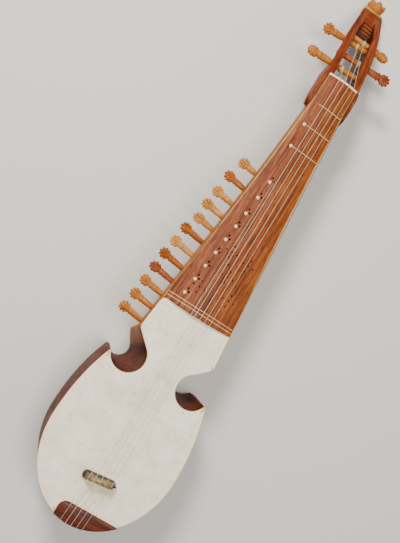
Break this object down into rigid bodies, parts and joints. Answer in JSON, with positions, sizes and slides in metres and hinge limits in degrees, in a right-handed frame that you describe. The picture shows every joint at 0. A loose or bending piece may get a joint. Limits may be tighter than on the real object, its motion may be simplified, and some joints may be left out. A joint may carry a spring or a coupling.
{
  "type": "plucked lute",
  "caption": "Waisted plucked lute: hollow carved bowl under a stretched skin, flared neck with a row of side pegs, bent-back open pegbox with turning main pegs, strings over a bridge.",
  "frame": {"origin": "middle of the flat on the bowl's back, at the bowl's widest station", "axes": "+Y along the strings towards the head, +Z out of the face, +X to the right seen from the front with the head up"},
  "size_m": [0.2164, 0.9859, 0.1438],
  "materials": {
    "bowl_wood": "oiled mulberry, dark red-brown",
    "neck_wood": "oiled mulberry, light tan",
    "head_wood": "oiled mulberry, red-brown",
    "board_wood": "oiled walnut, satin",
    "peg_wood": "carved apricot wood, satin",
    "goat_skin": "stretched goat skin, matt",
    "bone": "polished bone",
    "horn": "polished horn",
    "gut": "gut",
    "nylon": "clear white nylon"
  },
  "bodies": {
    "instrument": {"bowl": "bowl_wood", "neck": "neck_wood", "pegbox": "head_wood", "finial_cap": "peg_wood", "finial_bud": "peg_wood", "fingerboard": "board_wood", "edge_strip_left": "neck_wood", "edge_strip_right": "neck_wood", "board_inlay_1": "bone", "board_inlay_2": "bone", "skin": "goat_skin", "tailpiece": "head_wood", "tail_pins": "bone", "bridge": "horn", "nut": "bone", "fret_1": "gut", "fret_2": "gut", "fret_3": "gut", "string_studs": "bone", "string_1": "nylon", "string_2": "nylon", "string_3": "nylon", "string_4": "nylon", "drone_string": "nylon"},
    "side_tuner_01": {"side_peg_01": "peg_wood"},
    "side_tuner_02": {"side_peg_02": "peg_wood"},
    "side_tuner_03": {"side_peg_03": "peg_wood"},
    "side_tuner_04": {"side_peg_04": "peg_wood"},
    "side_tuner_05": {"side_peg_05": "peg_wood"},
    "side_tuner_06": {"side_peg_06": "peg_wood"},
    "side_tuner_07": {"side_peg_07": "peg_wood"},
    "side_tuner_08": {"side_peg_08": "peg_wood"},
    "side_tuner_09": {"side_peg_09": "peg_wood"},
    "side_tuner_10": {"side_peg_10": "peg_wood"},
    "side_tuner_11": {"side_peg_11": "peg_wood"},
    "side_tuner_12": {"side_peg_12": "peg_wood"},
    "main_tuner_1": {"main_peg_1": "peg_wood", "winding_1": "nylon"},
    "main_tuner_2": {"main_peg_2": "peg_wood", "winding_4": "nylon"},
    "main_tuner_3": {"main_peg_3": "peg_wood", "winding_2": "nylon"},
    "main_tuner_4": {"main_peg_4": "peg_wood", "winding_3": "nylon"}
  },
  "joints": [
    {"name": "side_tuner_01_turn", "type": "hinge", "parent": "instrument", "child": "side_tuner_01", "pos_m": [-0.0376, 0.4701, 0.1], "axis": [-0.9903, 0.1392, 0], "continuous": true},
    {"name": "side_tuner_02_turn", "type": "hinge", "parent": "instrument", "child": "side_tuner_02", "pos_m": [-0.0402, 0.4398, 0.1], "axis": [-0.9903, 0.1392, 0], "continuous": true},
    {"name": "side_tuner_03_turn", "type": "hinge", "parent": "instrument", "child": "side_tuner_03", "pos_m": [-0.04299, 0.4095, 0.1], "axis": [-0.9903, 0.1392, 0], "continuous": true},
    {"name": "side_tuner_04_turn", "type": "hinge", "parent": "instrument", "child": "side_tuner_04", "pos_m": [-0.04547, 0.3843, 0.1], "axis": [-0.9903, 0.1392, 0], "continuous": true},
    {"name": "side_tuner_05_turn", "type": "hinge", "parent": "instrument", "child": "side_tuner_05", "pos_m": [-0.04799, 0.3591, 0.1], "axis": [-0.9903, 0.1392, 0], "continuous": true},
    {"name": "side_tuner_06_turn", "type": "hinge", "parent": "instrument", "child": "side_tuner_06", "pos_m": [-0.05051, 0.3339, 0.1], "axis": [-0.9903, 0.1392, 0], "continuous": true},
    {"name": "side_tuner_07_turn", "type": "hinge", "parent": "instrument", "child": "side_tuner_07", "pos_m": [-0.05303, 0.3087, 0.1], "axis": [-0.9903, 0.1392, 0], "continuous": true},
    {"name": "side_tuner_08_turn", "type": "hinge", "parent": "instrument", "child": "side_tuner_08", "pos_m": [-0.05555, 0.2835, 0.1], "axis": [-0.9903, 0.1392, 0], "continuous": true},
    {"name": "side_tuner_09_turn", "type": "hinge", "parent": "instrument", "child": "side_tuner_09", "pos_m": [-0.05807, 0.2583, 0.1], "axis": [-0.9903, 0.1392, 0], "continuous": true},
    {"name": "side_tuner_10_turn", "type": "hinge", "parent": "instrument", "child": "side_tuner_10", "pos_m": [-0.06059, 0.2331, 0.1], "axis": [-0.9903, 0.1392, 0], "continuous": true},
    {"name": "side_tuner_11_turn", "type": "hinge", "parent": "instrument", "child": "side_tuner_11", "pos_m": [-0.06311, 0.2079, 0.1], "axis": [-0.9903, 0.1392, 0], "continuous": true},
    {"name": "side_tuner_12_turn", "type": "hinge", "parent": "instrument", "child": "side_tuner_12", "pos_m": [-0.06563, 0.1827, 0.1], "axis": [-0.9903, 0.1392, 0], "continuous": true},
    {"name": "main_tuner_1_turn", "type": "hinge", "parent": "instrument", "child": "main_tuner_1", "pos_m": [-0.03, 0.6885, 0.09681], "axis": [-0.999, -0.0454, 0], "continuous": true},
    {"name": "main_tuner_2_turn", "type": "hinge", "parent": "instrument", "child": "main_tuner_2", "pos_m": [0.02991, 0.72, 0.08317], "axis": [0.9979, 0.0645, 0], "continuous": true},
    {"name": "main_tuner_3_turn", "type": "hinge", "parent": "instrument", "child": "main_tuner_3", "pos_m": [-0.02891, 0.7455, 0.06974], "axis": [-0.9983, -0.0576, 0], "continuous": true},
    {"name": "main_tuner_4_turn", "type": "hinge", "parent": "instrument", "child": "main_tuner_4", "pos_m": [0.02785, 0.76, 0.0651], "axis": [0.9999, 0.0105, 0], "continuous": true}
  ]
}
